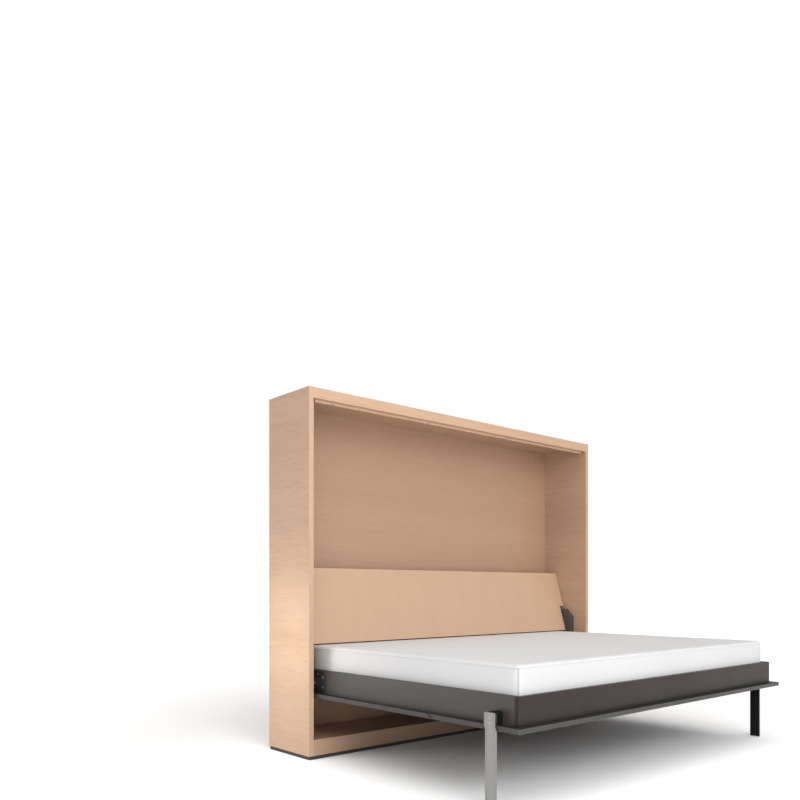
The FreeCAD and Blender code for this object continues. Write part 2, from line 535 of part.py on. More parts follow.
# ---------------------------------------------------------------- bed: arms, pushers, leg blocks
ARM_OUTLINE = (("-arm_front", "arm_low"), ("arm_back", "arm_low"), ("arm_back", "arm_high"),
               ("-arm_front + arm_slope_long", "arm_high"),
               ("-arm_front", "arm_high - arm_slope_drop"))
arm_screws = []
cheek_screws = []
catches = []
for word, side in SIDES:
    arm_face = "(tray_half + arm_steel)"
    holes = [(d, z, "screw_radius + hole_gap") for d, z in arm_screw_spots()]
    holes.append(("pivot_depth", "pivot_height", "bush_radius + press_gap"))
    arm_plate = side_profile("arm_plate_" + word, side, "tray_half", arm_face, ARM_OUTLINE, holes,
                             "arm_round", (ARM_OUTLINE[0], ARM_OUTLINE[4]))
    arm_stud = rod_x("arm_stud_" + word, side, arm_face, arm_face + " + stud_long",
                     "pivot_depth + stud_reach", "pivot_height", "stud_radius")
    keep(fuse("bed_arm_" + word, [arm_plate, arm_stud]), "bed_arm_" + word)
    for n, (depth, height) in enumerate(arm_screw_spots()):
        low = "tray_half - screw_long + arm_steel + cut_over"
        shank = rod_x("arm_shank_%s_%d" % (word, n), side, low, arm_face, depth, height,
                      "screw_radius")
        head = rod_x("arm_head_%s_%d" % (word, n), side, arm_face, arm_face + " + head_high",
                     depth, height, "head_radius")
        arm_screws.append(fuse("arm_screw_%s_%d" % (word, n), [shank, head]))
    sleeve = rod_x("bush_sleeve_" + word, side, "tray_half + bush_start", arm_face + " + bush_lip",
                   "pivot_depth", "pivot_height", "bush_radius")
    lip = rod_x("bush_flange_" + word, side, arm_face, arm_face + " + bush_lip", "pivot_depth",
                "pivot_height", "bush_flange")
    bush_bore = rod_x("bush_bore_" + word, side, "tray_half", arm_face + " + bush_lip",
                      "pivot_depth", "pivot_height", "pin_radius + run_gap")
    keep(cut("pivot_bush_" + word, fuse("bush_body_" + word, [sleeve, lip]), [bush_bore]),
         "pivot_bush_" + word)

    strap = (("tray_rear", "push_low"), ("tray_rear + push_steel", "push_low"),
             ("tray_rear + push_steel", "push_bend"),
             ("tray_rear + push_steel + push_lean", "push_top"),
             ("tray_rear + push_lean", "push_top"), ("tray_rear", "push_bend"))
    pusher = side_profile("backboard_pusher_" + word, side, "push_x - push_wide / 2",
                          "push_x + push_wide / 2", strap)
    keep(pusher, "backboard_pusher_" + word)

    middle = "-leg_out"
    block_low = TRAY_LOW
    block_outline = ((middle + " - block_wide / 2", block_low),
                     (middle + " + block_wide / 2", block_low),
                     (middle + " + block_wide / 2", "block_top"),
                     (middle + " - block_wide / 2", "block_top"))
    block = side_profile("leg_block_" + word, side, "tray_half", "door_half", block_outline, (),
                         "block_round", block_outline[2:])
    boss = rod_x("leg_boss_" + word, side, "door_half", CHEEK_FACE, middle, "leg_pivot",
                 "boss_radius")
    turned = fuse("leg_bracket_body_" + word, [block, boss])
    pilots = []
    outline = ((middle + " - cheek_wide / 2", "cheek_bottom"),
               (middle + " + cheek_wide / 2", "cheek_bottom"),
               (middle + " + cheek_wide / 2", "cheek_top"),
               (middle + " - cheek_wide / 2", "cheek_top"))
    screw_levels = ("leg_pivot - cheek_pitch / 2", "leg_pivot + cheek_pitch / 2")
    cheek_out = CHEEK_FACE + " + cheek_thick"
    for n, level in enumerate(screw_levels):
        pilots.append(rod_x("boss_pilot_%s_%d" % (word, n), side,
                            CHEEK_FACE + " - small_long", CHEEK_FACE, middle, level,
                            "small_radius + wood_gap"))
        shank = rod_x("cheek_shank_%s_%d" % (word, n), side,
                      CHEEK_FACE + " - small_long + cut_over", cheek_out, middle, level, "small_radius")
        head = rod_x("cheek_head_%s_%d" % (word, n), side, cheek_out + " - sink_deep",
                     cheek_out + " + head_proud", middle, level, "small_head")
        cheek_screws.append(fuse("cheek_screw_%s_%d" % (word, n), [shank, head]))
    keep(cut("leg_bracket_" + word, turned, pilots), "leg_bracket_" + word)
    cheek_raw = side_profile("cheek_raw_" + word, side, CHEEK_FACE, cheek_out, outline,
                             [(middle, level, "small_radius + small_gap") for level in screw_levels],
                             "cheek_round", outline)
    sinks = [rod_x("cheek_sink_%s_%d" % (word, n), side, cheek_out + " - sink_deep", cheek_out, middle,
                   level, "small_head + small_gap") for n, level in enumerate(screw_levels)]
    keep(cut("leg_cheek_plate_" + word, cheek_raw, sinks), "leg_cheek_plate_" + word)

    catches.append(box("leg_catch_" + word, span(side, "door_half", "door_half + catch_size"),
                       ("-catch_out - catch_size", "-catch_out + catch_size"),
                       ("door_low + catch_inset", TRAY_LOW + " - catch_inset"), False))
keep(group("bed_arm_screws", arm_screws), "bed_arm_screws")
keep(group("cheek_plate_screws", cheek_screws), "cheek_plate_screws")
keep(group("leg_catches", catches), "leg_catches")

# ---------------------------------------------------------------- legs
for word, side in SIDES:
    middle = "-leg_out"
    leg_outline = ((middle + " - leg_wide / 2", "foot_pad"), (middle + " + leg_wide / 2", "foot_pad"),
                   (middle + " + leg_wide / 2", "leg_top"), (middle + " - leg_wide / 2", "leg_top"))
    leg = side_profile("leg_bar_" + word, side, LEG_FACE, LEG_FACE + " + leg_thick", leg_outline,
                       [(middle, "leg_pivot", "boss_radius + run_gap")], "leg_round", leg_outline[2:])
    keep(leg, "leg_bar_" + word)
    foot_outline = ((middle + " - leg_wide / 2 + foot_taper", "0"),
                    (middle + " + leg_wide / 2 - foot_taper", "0"),
                    (middle + " + leg_wide / 2", "foot_pad"),
                    (middle + " - leg_wide / 2", "foot_pad"))
    foot = side_profile("leg_foot_" + word, side, LEG_FACE, LEG_FACE + " + leg_thick",
                        foot_outline)
    keep(foot, "leg_foot_" + word)

# ---------------------------------------------------------------- slanted board and its hinges
LEAN_OUTLINE = (("-lean_notch_half", "-lean_low"), ("lean_notch_half", "-lean_low"),
                ("lean_notch_half", "-lean_notch_top"), ("lean_half", "-lean_notch_top"),
                ("lean_half", "lean_over"), ("-lean_half", "lean_over"),
                ("-lean_half", "-lean_notch_top"), ("-lean_notch_half", "-lean_notch_top"))
board = profile("backboard_blank", "XZ_Plane", LEAN_OUTLINE, "panel_thick")
outline_sketch = board.Group[0]
outline_sketch.AttachmentOffset = FreeCAD.Placement(FreeCAD.Vector(0, 0, -1), FreeCAD.Rotation())
bind(outline_sketch, ".AttachmentOffset.Base.z", "-panel_thick / 2")
rounded(board, "lean_round", 1, at(LEAN_OUTLINE[4:6]))
board.Placement = FreeCAD.Placement(FreeCAD.Vector(), FreeCAD.Rotation(LEAN_AXIS, 1))
bind(board, ".Placement.Rotation.Angle", "lean_angle")
place(board, "0", "lean_hinge_depth", "lean_hinge_height")
doc.recompute()
pin_bores = [rod_x("backboard_bore_" + word, side, "lean_half - hinge_pin_in - cut_over",
                   "lean_half + cut_over",
                   "lean_hinge_depth", "lean_hinge_height", "hinge_pin_radius + run_gap")
             for word, side in SIDES]
foot_cut = box("backboard_foot_cut", ("-lean_half", "lean_half"), ("0", "lean_hinge_depth"),
               ("mat_low", "lean_foot"), False)
keep(cut("backboard", board, pin_bores + [foot_cut]), "backboard")

for word, side in SIDES:
    ear = box("hinge_ear_" + word, span(side, INNER + " - hinge_plate", INNER),
              ("lean_hinge_depth - ear_half", "lean_hinge_depth + ear_half"),
              ("lean_hinge_height - ear_low", "lean_hinge_height + ear_over"), False)
    pin = rod_x("hinge_pin_" + word, side, "lean_half - hinge_pin_in", INNER + " - hinge_plate",
                "lean_hinge_depth", "lean_hinge_height", "hinge_pin_radius")
    keep(fuse("backboard_hinge_" + word, [ear, pin]), "backboard_hinge_" + word)

doc.recompute()

# ---------------------------------------------------------------- checks and export
for obj in doc.Objects:
    if "Invalid" in obj.State or "Error" in obj.State:
        raise RuntimeError("%s is %s" % (obj.Name, obj.State))
labels = [obj.Label for obj in SUBPARTS]
if len(set(labels)) != len(labels):
    raise RuntimeError("two sub-parts share a name")
os.makedirs("parts", exist_ok=True)
for obj in SUBPARTS:
    if obj.Shape.isNull() or not obj.Shape.isValid():
        raise RuntimeError(obj.Label + " has no valid shape")
    obj.Shape.exportStep(os.path.join("parts", obj.Label + ".step"))
print("%d sub-parts written" % len(SUBPARTS))
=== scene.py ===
"""A horizontal wall bed, opened and standing on its two legs, in a pale studio."""

import logging
import math
from dataclasses import dataclass, field
from enum import Enum
from functools import cache
from typing import Sequence

import bmesh
import bpy
from bmesh.types import BMEdge, BMesh, BMVert
from bpy.types import Material, Node, NodeTree, Object
from bpy.types import NodeSocket as Socket
from mathutils import Matrix, Vector


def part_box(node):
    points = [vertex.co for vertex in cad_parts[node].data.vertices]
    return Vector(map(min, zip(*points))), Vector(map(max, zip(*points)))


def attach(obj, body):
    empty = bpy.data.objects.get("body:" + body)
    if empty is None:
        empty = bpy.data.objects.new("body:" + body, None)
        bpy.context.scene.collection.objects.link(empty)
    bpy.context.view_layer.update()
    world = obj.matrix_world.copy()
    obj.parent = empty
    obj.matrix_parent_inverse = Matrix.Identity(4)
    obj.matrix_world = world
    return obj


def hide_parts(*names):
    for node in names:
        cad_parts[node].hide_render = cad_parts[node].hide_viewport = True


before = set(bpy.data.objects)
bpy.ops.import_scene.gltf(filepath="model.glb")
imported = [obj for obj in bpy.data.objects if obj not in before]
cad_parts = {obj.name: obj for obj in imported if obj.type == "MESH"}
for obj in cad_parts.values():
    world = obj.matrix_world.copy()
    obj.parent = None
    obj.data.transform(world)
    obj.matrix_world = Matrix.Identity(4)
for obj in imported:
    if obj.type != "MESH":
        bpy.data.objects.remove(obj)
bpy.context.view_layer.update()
LOG = logging.getLogger("wall_bed")

Colour = tuple[float, float, float]
Point = tuple[float, float, float]
Outputs = bpy.types.bpy_prop_collection


class Run(Enum):
    """The direction a board's grain or a metal's brushing runs in."""

    ACROSS = (1.0, 0.0, 0.0)
    DEEP = (0.0, 1.0, 0.0)
    UPRIGHT = (0.0, 0.0, 1.0)


class Side(Enum):
    """The two ends of the bed."""

    LEFT = -1
    RIGHT = 1

    @property
    def word(self) -> str:
        """The side's name as the frame's nodes spell it."""
        return self.name.lower()


# ---- node trees


class Tree:
    """A thin helper that adds and links shader nodes in one tree."""

    def __init__(self, tree: NodeTree) -> None:
        """Keep the tree.

        Args:
            tree: The material's or group's own node tree.
        """
        self.tree = tree

    def add(self, kind: str, **values: object) -> Node:
        """Add a node and set its properties and inputs.

        Args:
            kind: The node's type name.
            **values: Properties by name, or inputs by name with spaces as underscores.

        Returns:
            The new node.
        """
        node = self.tree.nodes.new(kind)
        for name, value in values.items():
            if hasattr(node, name):
                setattr(node, name, value)
            else:
                self.feed(value, node.inputs[name.replace("_", " ")])
        return node

    def link(self, start: Socket, end: Socket) -> None:
        """Join two sockets."""
        self.tree.links.new(start, end)

    def feed(self, value: object, slot: Socket) -> None:
        """Link a socket to an input, or set the input to a number or a colour."""
        if isinstance(value, Socket):
            self.link(value, slot)
        elif isinstance(value, tuple) and len(value) == 3:
            slot.default_value = (*value, 1.0)
        else:
            slot.default_value = value

    def maths(self, operation: str, first: object, second: object = 0.0) -> Socket:
        """A Math node's result, from two sockets or numbers."""
        node = self.add("ShaderNodeMath", operation=operation)
        self.feed(first, node.inputs[0])
        self.feed(second, node.inputs[1])
        return node.outputs[0]

    def times(self, first: object, second: object) -> Socket:
        """The product of two sockets or numbers."""
        return self.maths("MULTIPLY", first, second)

    def plus(self, first: object, second: object) -> Socket:
        """The sum of two sockets or numbers."""
        return self.maths("ADD", first, second)

    def ramp(self, value: Socket, low: float, high: float) -> Socket:
        """A value stretched so that low becomes 0 and high becomes 1, and clamped."""
        node = self.add("ShaderNodeMapRange", clamp=True, Value=value, From_Min=low, From_Max=high)
        return node.outputs["Result"]

    def mix(self, factor: object, first: object, second: object) -> Socket:
        """A colour mix, from sockets, numbers or colours."""
        node = self.add("ShaderNodeMix", data_type="RGBA")
        for index, value in ((0, factor), (6, first), (7, second)):
            self.feed(value, node.inputs[index])
        return node.outputs[2]

    def noise(self, where: Socket, **values: object) -> Socket:
        """Noise read at a vector, with the texture's inputs by name."""
        return self.add("ShaderNodeTexNoise", Vector=where, **values).outputs["Fac"]

    def squeezed(self, where: Socket, along: object, across: object) -> Socket:
        """A vector whose x is scaled by along, and its y and z by across."""
        split = self.add("ShaderNodeSeparateXYZ", Vector=where)
        join = self.add("ShaderNodeCombineXYZ")
        for index, scale in enumerate((along, across, across)):
            self.link(self.times(split.outputs[index], scale), join.inputs[index])
        return join.outputs[0]


def new_group(name: str, inputs: dict[str, object],
              outputs: Sequence[str]) -> tuple[NodeTree, Tree, Outputs, Outputs]:
    """Start a shader node group that gives values from 0 to 1.

    Args:
        name: The group's name.
        inputs: Name and default of each number that it takes besides its Vector.
        outputs: Name of each value that it gives.

    Returns:
        The group, its helper, the sockets it reads and the sockets it fills.
    """
    group = bpy.data.node_groups.new(name, "ShaderNodeTree")
    group.interface.new_socket("Vector", in_out="INPUT", socket_type="NodeSocketVector")
    for label, default in inputs.items():
        socket = group.interface.new_socket(label, in_out="INPUT", socket_type="NodeSocketFloat")
        socket.default_value = default
    for label in outputs:
        group.interface.new_socket(label, in_out="OUTPUT", socket_type="NodeSocketFloat")
    t = Tree(group)
    return group, t, t.add("NodeGroupInput").outputs, t.add("NodeGroupOutput").inputs


class Effects:
    """Node groups that several finishes share, each built once."""

    @staticmethod
    @cache
    def grain() -> NodeTree:
        """Wood figure along the group's own x: broad tone, fine streaks and short flecks."""
        group, t, source, out = new_group("grain_figure", {"Stretch": 14.0, "Fineness": 90.0},
                                          ("Tone", "Streak", "Fleck", "Height"))
        fine = source["Fineness"]
        spot = t.squeezed(source["Vector"], t.maths("DIVIDE", fine, source["Stretch"]), fine)
        tone = t.ramp(t.noise(spot, Scale=0.06, Detail=2.0, Distortion=0.6), 0.34, 0.66)
        lines = t.ramp(t.noise(spot, Scale=1.0, Detail=5.0, Roughness=0.62), 0.33, 0.68)
        pores = t.ramp(t.noise(spot, Scale=4.6, Detail=2.0, Roughness=0.5), 0.3, 0.7)
        flecks = t.ramp(t.noise(spot, Scale=2.1, Detail=1.0, Roughness=0.4), 0.63, 0.74)
        height = t.plus(t.times(lines, 0.5), t.times(pores, 0.5))
        height = t.maths("SUBTRACT", height, t.times(flecks, 0.4))
        for label, value in (("Tone", tone), ("Streak", lines), ("Fleck", flecks),
                             ("Height", height)):
            t.link(value, out[label])
        return group

    @staticmethod
    @cache
    def wear() -> NodeTree:
        """Handling marks: soft smudges, a film of dust and a few hair-fine scuffs."""
        group, t, source, out = new_group("handling_marks", {"Size": 6.0},
                                          ("Smudge", "Scuff", "Dust"))
        spot, size = source["Vector"], source["Size"]
        smudge = t.noise(spot, Scale=size, Detail=4.0, Roughness=0.55, Distortion=0.4)
        scuff = t.noise(spot, Scale=t.times(size, 3.1), Detail=2.0, Roughness=0.3, Distortion=2.2)
        dust = t.noise(spot, Scale=420.0, Detail=2.0, Roughness=0.7)
        thin = t.maths("ABSOLUTE", t.maths("SUBTRACT", scuff, 0.5))
        t.link(t.ramp(smudge, 0.32, 0.68), out["Smudge"])
        t.link(t.maths("SUBTRACT", 1.0, t.ramp(thin, 0.0, 0.006)), out["Scuff"])
        t.link(t.ramp(dust, 0.52, 0.78), out["Dust"])
        return group

    @staticmethod
    @cache
    def knit() -> NodeTree:
        """Fine jersey ticking: ribs one way, rows the other, and slight slubs."""
        group, t, source, out = new_group("jersey_knit", {"Pitch": 520.0}, ("Thread", "Slub"))
        split = t.add("ShaderNodeSeparateXYZ", Vector=source["Vector"])
        waves = [t.maths("ABSOLUTE", t.maths("SINE", t.times(axis, source["Pitch"])))
                 for axis in split.outputs]
        weave = t.times(t.maths("MAXIMUM", waves[0], waves[2]),
                        t.plus(0.4, t.times(waves[1], 0.6)))
        slub = t.noise(source["Vector"], Scale=70.0, Detail=4.0, Roughness=0.65)
        t.link(weave, out["Thread"])
        t.link(t.ramp(slub, 0.35, 0.7), out["Slub"])
        return group

    @staticmethod
    @cache
    def brushing() -> NodeTree:
        """Fine parallel scratches along the group's own x."""
        group, t, source, out = new_group("brushed_lines", {"Fineness": 900.0}, ("Line", "Band"))
        spot = t.squeezed(source["Vector"], 9.0, source["Fineness"])
        line = t.noise(spot, Scale=1.0, Detail=3.0, Roughness=0.6)
        band = t.noise(spot, Scale=0.06, Detail=2.0, Roughness=0.5)
        t.link(t.ramp(line, 0.3, 0.7), out["Line"])
        t.link(t.ramp(band, 0.35, 0.65), out["Band"])
        return group


def start_material(name: str, **values: float) -> tuple[Material, Tree, Node, Socket]:
    """A fresh material with a Principled shader and object coordinates.

    Args:
        name: The material's name.
        **values: The shader's constant inputs.

    Returns:
        The material, its helper, the shader and the coordinates' socket.
    """
    material = bpy.data.materials.new(name)
    material.use_nodes = True
    material.node_tree.nodes.clear()
    t = Tree(material.node_tree)
    shader = t.add("ShaderNodeBsdfPrincipled", **values)
    output = t.add("ShaderNodeOutputMaterial")
    t.link(shader.outputs["BSDF"], output.inputs["Surface"])
    return material, t, shader, t.add("ShaderNodeTexCoord").outputs["Object"]


def turned(t: Tree, where: Socket, run: Run, shift: Point) -> Socket:
    """Object coordinates turned so that the group's x follows a direction.

    Args:
        t: The material's helper.
        where: Its object coordinates.
        run: The direction that becomes x.
        shift: An offset that makes each board its own piece of wood.

    Returns:
        The turned vector's socket.
    """
    turn = {Run.ACROSS: (0.0, 0.0, 0.0), Run.DEEP: (0.0, 0.0, -math.pi / 2),
            Run.UPRIGHT: (0.0, math.pi / 2, 0.0)}[run]
    mapping = t.add("ShaderNodeMapping")
    mapping.inputs["Rotation"].default_value = turn
    mapping.inputs["Location"].default_value = shift
    t.link(where, mapping.inputs["Vector"])
    return mapping.outputs["Vector"]


def use_group(t: Tree, group: NodeTree, where: Socket, **values: float) -> Outputs:
    """The outputs of a shared effect, placed in a material and read at a vector."""
    return t.add("ShaderNodeGroup", node_tree=group, Vector=where, **values).outputs


def bump(t: Tree, shader: Node, height: Socket, strength: float, depth: float) -> None:
    """Feed a height to the shader's normal.

    Args:
        t: The material's helper.
        shader: The Principled shader.
        height: The height, 0 to 1.
        strength: How strongly it shows.
        depth: Its real depth in metres.
    """
    node = t.add("ShaderNodeBump", Strength=strength, Distance=depth, Height=height)
    t.link(node.outputs["Normal"], shader.inputs["Normal"])


# ---- finishes


@dataclass(frozen=True)
class Beech:
    """Light, warm wood-look board with fine, mostly straight figure."""

    name: str
    run: Run
    shift: Point = (0.0, 0.0, 0.0)
    pale: Colour = (0.510, 0.345, 0.235)
    deep: Colour = (0.400, 0.255, 0.165)
    fleck: Colour = (0.270, 0.155, 0.090)
    fineness: float = 95.0
    stretch: float = 17.0
    fleck_share: float = 0.30
    rough: float = 0.46

    def make(self) -> Material:
        """Build the material."""
        material, t, shader, where = start_material(self.name, Coat_Weight=0.12,
                                                    Coat_Roughness=0.30)
        vector = turned(t, where, self.run, self.shift)
        grain = use_group(t, Effects.grain(), vector, Stretch=self.stretch, Fineness=self.fineness)
        marks = use_group(t, Effects.wear(), where, Size=4.0)
        tone = t.plus(t.times(grain["Tone"], 0.42), t.times(grain["Streak"], 0.36))
        colour = t.mix(tone, self.pale, self.deep)
        colour = t.mix(t.times(grain["Fleck"], self.fleck_share), colour, self.fleck)
        colour = t.mix(t.times(marks["Smudge"], 0.07), colour, (0.35, 0.24, 0.165))
        t.link(colour, shader.inputs["Base Color"])
        rough = t.plus(self.rough - 0.06, t.times(marks["Smudge"], 0.10))
        rough = t.plus(rough, t.times(grain["Streak"], 0.07))
        t.link(rough, shader.inputs["Roughness"])
        bump(t, shader, grain["Height"], 0.22, 0.0004)
        return material


@dataclass(frozen=True)
class DarkLaminate:
    """Satin grey-brown laminate with a faint drawn figure."""

    name: str
    run: Run
    shift: Point = (0.0, 0.0, 0.0)
    base: Colour = (0.036, 0.030, 0.028)
    light: Colour = (0.056, 0.047, 0.043)
    rough: float = 0.34
    gloss: float = 0.5

    def make(self) -> Material:
        """Build the material."""
        material, t, shader, where = start_material(self.name, Specular_IOR_Level=self.gloss)
        vector = turned(t, where, self.run, self.shift)
        grain = use_group(t, Effects.grain(), vector, Stretch=30.0, Fineness=60.0)
        marks = use_group(t, Effects.wear(), where, Size=3.0)
        tone = t.plus(t.times(grain["Tone"], 0.35), t.times(grain["Streak"], 0.40))
        colour = t.mix(tone, self.base, self.light)
        colour = t.mix(t.times(marks["Dust"], 0.04), colour, (0.24, 0.22, 0.20))
        t.link(colour, shader.inputs["Base Color"])
        rough = t.plus(self.rough - 0.05, t.times(marks["Smudge"], 0.13))
        rough = t.plus(rough, t.times(grain["Streak"], 0.05))
        t.link(rough, shader.inputs["Roughness"])
        bump(t, shader, grain["Height"], 0.12, 0.0003)
        return material


@dataclass(frozen=True)
class RubbedEdge:
    """A board's arris, where the finish is handled and a little paler; the same mix, made darker,
    also paints shade on the rails' arrises and on upward faces.
    """

    name: str
    base: Colour
    bare: Colour
    rough: float = 0.42

    def make(self) -> Material:
        """Build the material."""
        material, t, shader, where = start_material(self.name)
        marks = use_group(t, Effects.wear(), where, Size=22.0)
        t.link(t.mix(t.times(marks["Smudge"], 0.6), self.base, self.bare),
               shader.inputs["Base Color"])
        t.link(t.plus(self.rough, t.times(marks["Scuff"], 0.2)), shader.inputs["Roughness"])
        return material


@dataclass(frozen=True)
class PowderCoat:
    """Fine-textured baked paint on steel."""

    name: str
    base: Colour = (0.017, 0.017, 0.018)
    worn: Colour = (0.060, 0.059, 0.058)
    rough: float = 0.40
    grit: float = 1500.0
    gloss: float = 0.5

    def make(self) -> Material:
        """Build the material."""
        material, t, shader, where = start_material(self.name, Specular_IOR_Level=self.gloss)
        marks = use_group(t, Effects.wear(), where, Size=14.0)
        grit = t.noise(where, Scale=self.grit, Detail=2.0)
        rubbed = t.plus(t.times(marks["Smudge"], 0.35), t.times(marks["Scuff"], 0.3))
        t.link(t.mix(rubbed, self.base, self.worn), shader.inputs["Base Color"])
        t.link(t.plus(self.rough, t.times(marks["Smudge"], 0.12)), shader.inputs["Roughness"])
        bump(t, shader, grit, 0.25, 0.0002)
        return material


@dataclass(frozen=True)
class BrushedSteel:
    """Satin steel with fine drawn lines."""

    name: str
    run: Run
    dark: Colour = (0.46, 0.455, 0.445)
    pale: Colour = (0.64, 0.635, 0.62)
    rough: float = 0.34

    def make(self) -> Material:
        """Build the material."""
        material, t, shader, where = start_material(self.name, Metallic=1.0)
        vector = turned(t, where, self.run, (0.0, 0.0, 0.0))
        lines = use_group(t, Effects.brushing(), vector, Fineness=1100.0)
        marks = use_group(t, Effects.wear(), where, Size=18.0)
        tone = t.plus(t.times(lines["Line"], 0.55), t.times(lines["Band"], 0.35))
        t.link(t.mix(tone, self.dark, self.pale), shader.inputs["Base Color"])
        rough = t.plus(self.rough - 0.06, t.times(lines["Line"], 0.12))
        rough = t.plus(rough, t.times(marks["Smudge"], 0.08))
        t.link(rough, shader.inputs["Roughness"])
        bump(t, shader, lines["Line"], 0.10, 0.0001)
        return material


@dataclass(frozen=True)
class PlainMetal:
    """Plated or polished small metal parts."""

    name: str
    base: Colour = (0.62, 0.61, 0.58)
    dull: Colour = (0.42, 0.41, 0.39)
    rough: float = 0.28

    def make(self) -> Material:
        """Build the material."""
        material, t, shader, where = start_material(self.name, Metallic=1.0)
        marks = use_group(t, Effects.wear(), where, Size=60.0)
        t.link(t.mix(marks["Smudge"], self.base, self.dull), shader.inputs["Base Color"])
        t.link(t.plus(self.rough, t.times(marks["Smudge"], 0.15)), shader.inputs["Roughness"])
        return material


@dataclass(frozen=True)
class MouldedPlastic:
    """Moulded plastic or rubber with a fine spark texture."""

    name: str
    base: Colour = (0.022, 0.022, 0.022)
    rough: float = 0.5

    def make(self) -> Material:
        """Build the material."""
        material, t, shader, where = start_material(self.name)
        marks = use_group(t, Effects.wear(), where, Size=30.0)
        spark = t.noise(where, Scale=2200.0, Detail=1.0)
        pale = tuple(min(1.0, c * 1.35 + 0.012) for c in self.base)
        t.link(t.mix(t.times(marks["Smudge"], 0.5), self.base, pale), shader.inputs["Base Color"])
        t.link(t.plus(self.rough, t.times(marks["Smudge"], 0.1)), shader.inputs["Roughness"])
        bump(t, shader, spark, 0.2, 0.0001)
        return material


@dataclass(frozen=True)
class Ticking:
    """White jersey mattress cover with a fine knit, slight slubs and faint mottling."""

    name: str
    white: Colour = (0.550, 0.547, 0.549)
    shade: Colour = (0.515, 0.515, 0.522)
    pitch: float = 620.0

    def make(self) -> Material:
        """Build the material."""
        material, t, shader, where = start_material(self.name, Sheen_Weight=0.18,
                                                    Sheen_Roughness=0.5)
        knit = use_group(t, Effects.knit(), where, Pitch=self.pitch)
        colour = t.mix(t.times(knit["Slub"], 0.35), self.white, self.shade)
        cloud = t.noise(where, Scale=2.6, Detail=3.0, Distortion=0.5)
        colour = t.mix(t.times(t.ramp(cloud, 0.42, 0.66), 0.55), colour, self.shade)
        colour = t.mix(t.times(knit["Thread"], 0.12), colour, (0.61, 0.61, 0.613))
        t.link(colour, shader.inputs["Base Color"])
        t.link(t.plus(0.82, t.times(knit["Slub"], 0.1)), shader.inputs["Roughness"])
        height = t.plus(t.times(knit["Thread"], 0.35), t.times(knit["Slub"], 0.65))
        bump(t, shader, height, 0.25, 0.0006)
        return material


@cache
def made(finish: object) -> Material:
    """The material of a finish, built the first time it is asked for."""
    return finish.make()


WOOD_ARRIS = RubbedEdge("beech_arris", (0.46, 0.30, 0.195), (0.56, 0.39, 0.27))
DARK_ARRIS = RubbedEdge("laminate_arris", (0.058, 0.051, 0.047), (0.10, 0.092, 0.086), 0.36)
# Painted shade: the tray rails' rounded arrises are darker than their faces, so the rails' top
# edges read as in shade under the mattress; the rubbed mix adds handling marks.
SHADED_RAIL_ARRIS = RubbedEdge("rail_arris_painted_shade", (0.026, 0.022, 0.021), (0.042, 0.037, 0.035), 0.4)
# Painted shade: near-black for the upward faces of the panel's lip and the tray rails, which lie
# in shade under the tray and the mattress.
PAINTED_SHADE_TOPS = RubbedEdge("top_faces_painted_shade", (0.010, 0.009, 0.009), (0.018, 0.017, 0.016), 0.5)
BLACK_STEEL = PowderCoat("black_powder_coat")
# Near-black coat: the leg brackets' own finish, and painted shade on the leg bars' inward faces.
DEEP_BLACK_AND_LEG_SHADE = PowderCoat("deep_black_coat_and_leg_shade", (0.004, 0.004, 0.004), (0.011, 0.011, 0.011), 0.5,
                        gloss=0.18)
COVER_STEEL = PowderCoat("cover_powder_coat", (0.040, 0.043, 0.041), (0.085, 0.085, 0.083), 0.42)
SAND_STEEL = PowderCoat("sand_powder_coat", (0.40, 0.27, 0.185), (0.46, 0.33, 0.24), 0.45)
LEG_STEEL = BrushedSteel("leg_brushed_steel", Run.UPRIGHT,
                         (0.24, 0.236, 0.23), (0.365, 0.36, 0.35))
ZINC = PlainMetal("zinc_plate")
CHROME = PlainMetal("polished_rod", (0.80, 0.80, 0.80), (0.66, 0.66, 0.66), 0.08)
BLACK_PLASTIC = MouldedPlastic("black_plastic")
FOOT_PLASTIC = MouldedPlastic("foot_plastic", (0.30, 0.30, 0.295), 0.5)
CATCH_PLASTIC = MouldedPlastic("catch_plastic", (0.034, 0.031, 0.029), 0.5)
SOFT_RUBBER = MouldedPlastic("soft_bumper", (0.22, 0.21, 0.20), 0.6)


# ---- dressing frame nodes


@dataclass(frozen=True)
class Dress:
    """How one frame node is finished.

    Attributes:
        finish: The finish of its faces.
        arris: The finish of its rounded arrises, or None for the same.
        radius: Width of the rounded arris in metres.
        cap: A second finish for the faces that look along cap_way.
        cap_way: The direction those faces look in; both ways where both_ways is set.
        both_ways: Whether the opposite faces have that finish too.
    """

    finish: object
    arris: object | None = None
    radius: float = 0.0008
    cap: object | None = None
    cap_way: Point = (0.0, 1.0, 0.0)
    both_ways: bool = True

    def capped(self, normal: Vector) -> bool:
        """Whether a face with this normal has the second finish."""
        share = normal.dot(Vector(self.cap_way))
        return self.cap is not None and (abs(share) if self.both_ways else share) > 0.9


